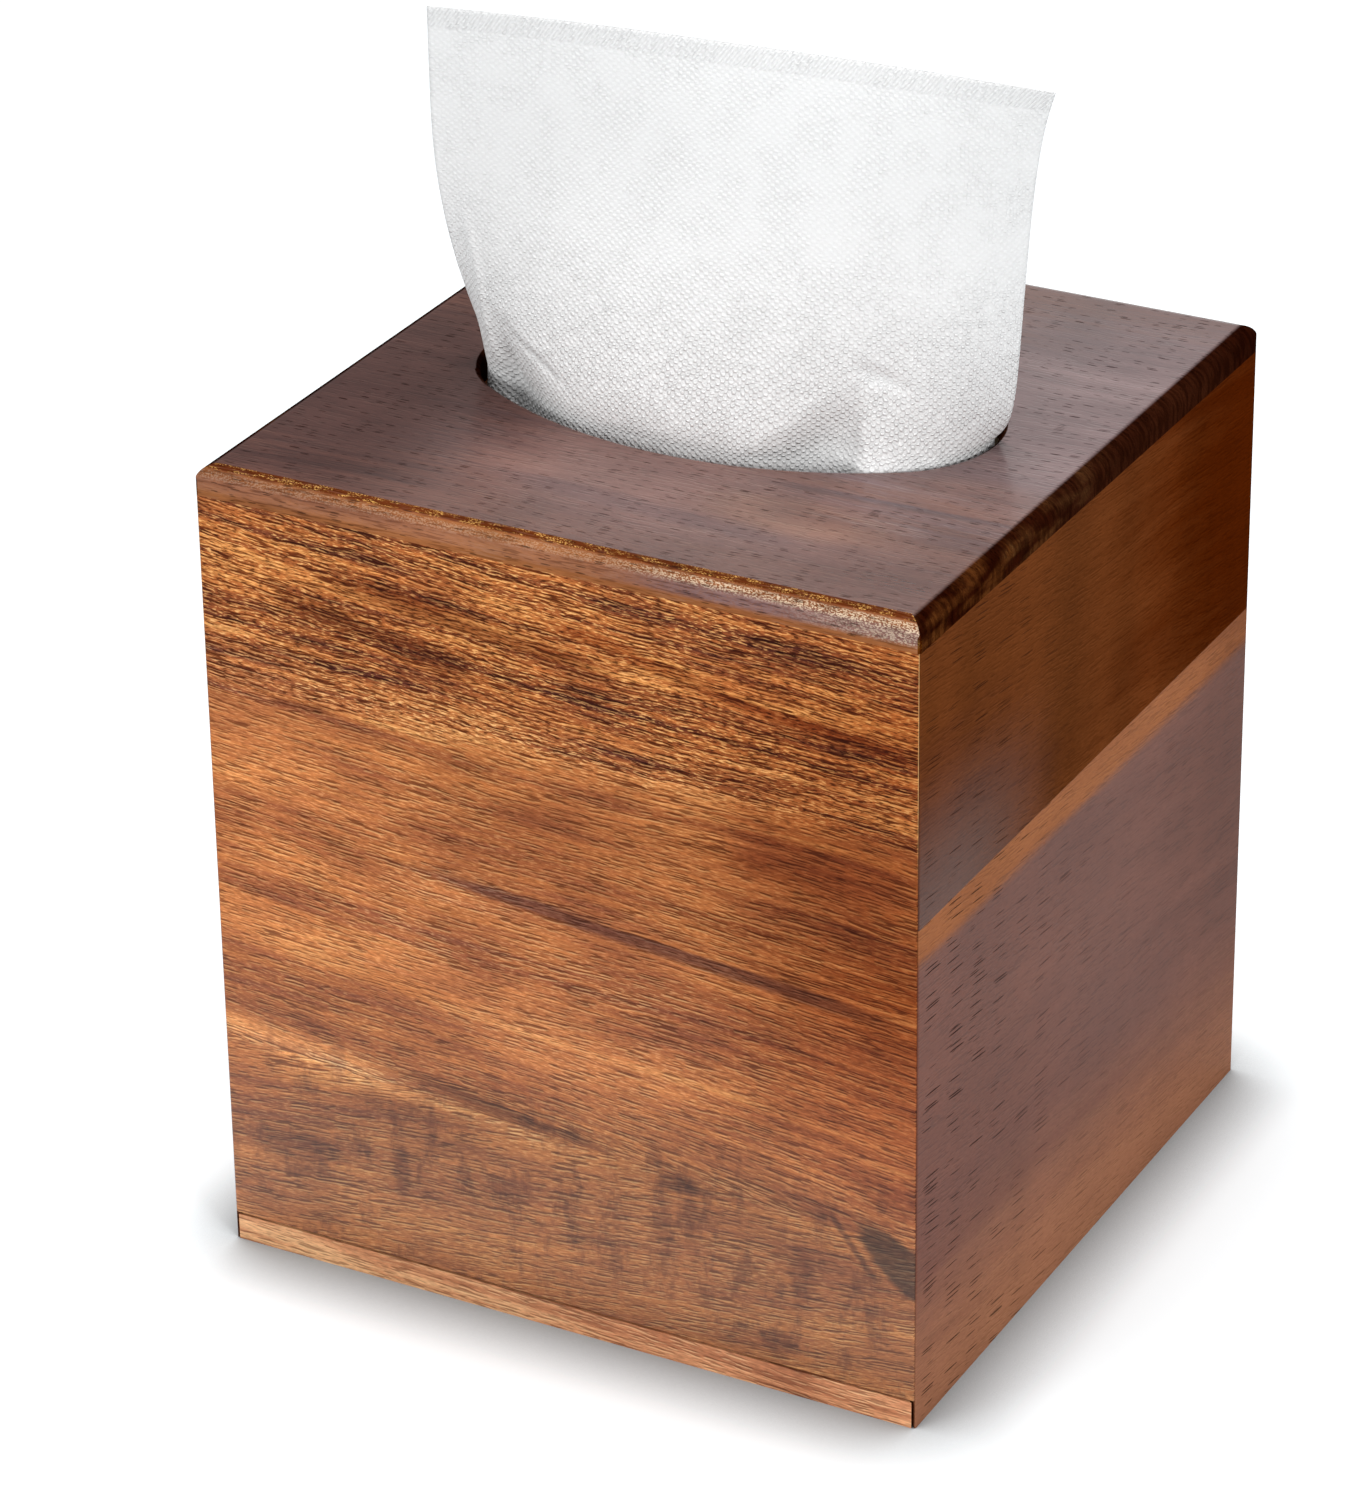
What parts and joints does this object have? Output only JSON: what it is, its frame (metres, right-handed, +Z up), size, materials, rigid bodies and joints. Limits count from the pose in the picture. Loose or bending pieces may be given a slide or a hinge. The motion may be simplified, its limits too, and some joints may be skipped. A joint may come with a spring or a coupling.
{
  "type": "tissue box cover",
  "caption": "Square solid-wood tissue box cover with an oval opening in its rounded top panel and a base that slides out forwards. It holds a carton of tissues, and one stands up.",
  "frame": {"origin": "centre of the cover's foot, on the surface it stands on", "axes": "+X to the right along the front, +Y from the front to the back, +Z up; the base slides out along -Y"},
  "size_m": [0.139, 0.139, 0.2249],
  "materials": {
    "wood_top": "satin lacquer over dark brown heartwood",
    "wood_front": "satin lacquer over golden brown heartwood",
    "wood_back": "satin lacquer over brown heartwood",
    "wood_left": "satin lacquer over brown heartwood",
    "wood_right_upper": "satin lacquer over dark brown heartwood",
    "wood_right_lower": "satin lacquer over brown heartwood with a sapwood stripe",
    "wood_base": "sanded, thin lacquer",
    "wood_strip": "satin lacquer over pale brown wood",
    "carton_board": "plain uncoated board",
    "folded_tissue": "matte, soft, in thin folded layers",
    "tissue": "matte, soft, with fine embossed dots"
  },
  "bodies": {
    "cover": {"top_panel": "wood_top", "front_wall": "wood_front", "back_wall": "wood_back", "left_wall": "wood_left", "right_wall_upper_board": "wood_right_upper", "right_wall_lower_board": "wood_right_lower", "tissue_carton": "carton_board", "tissue_stack": "folded_tissue"},
    "base": {"base_panel": "wood_base", "base_front_strip": "wood_strip"},
    "tissue": {"tissue_sheet": "tissue"}
  },
  "joints": [
    {"name": "base_slide", "type": "slide", "parent": "cover", "child": "base", "axis": [0, -1, 0], "range_m": [0, 0.135]},
    {"name": "tissue_pull", "type": "slide", "parent": "cover", "child": "tissue", "axis": [0, 0, 1], "range_m": [0, 0.024]}
  ]
}
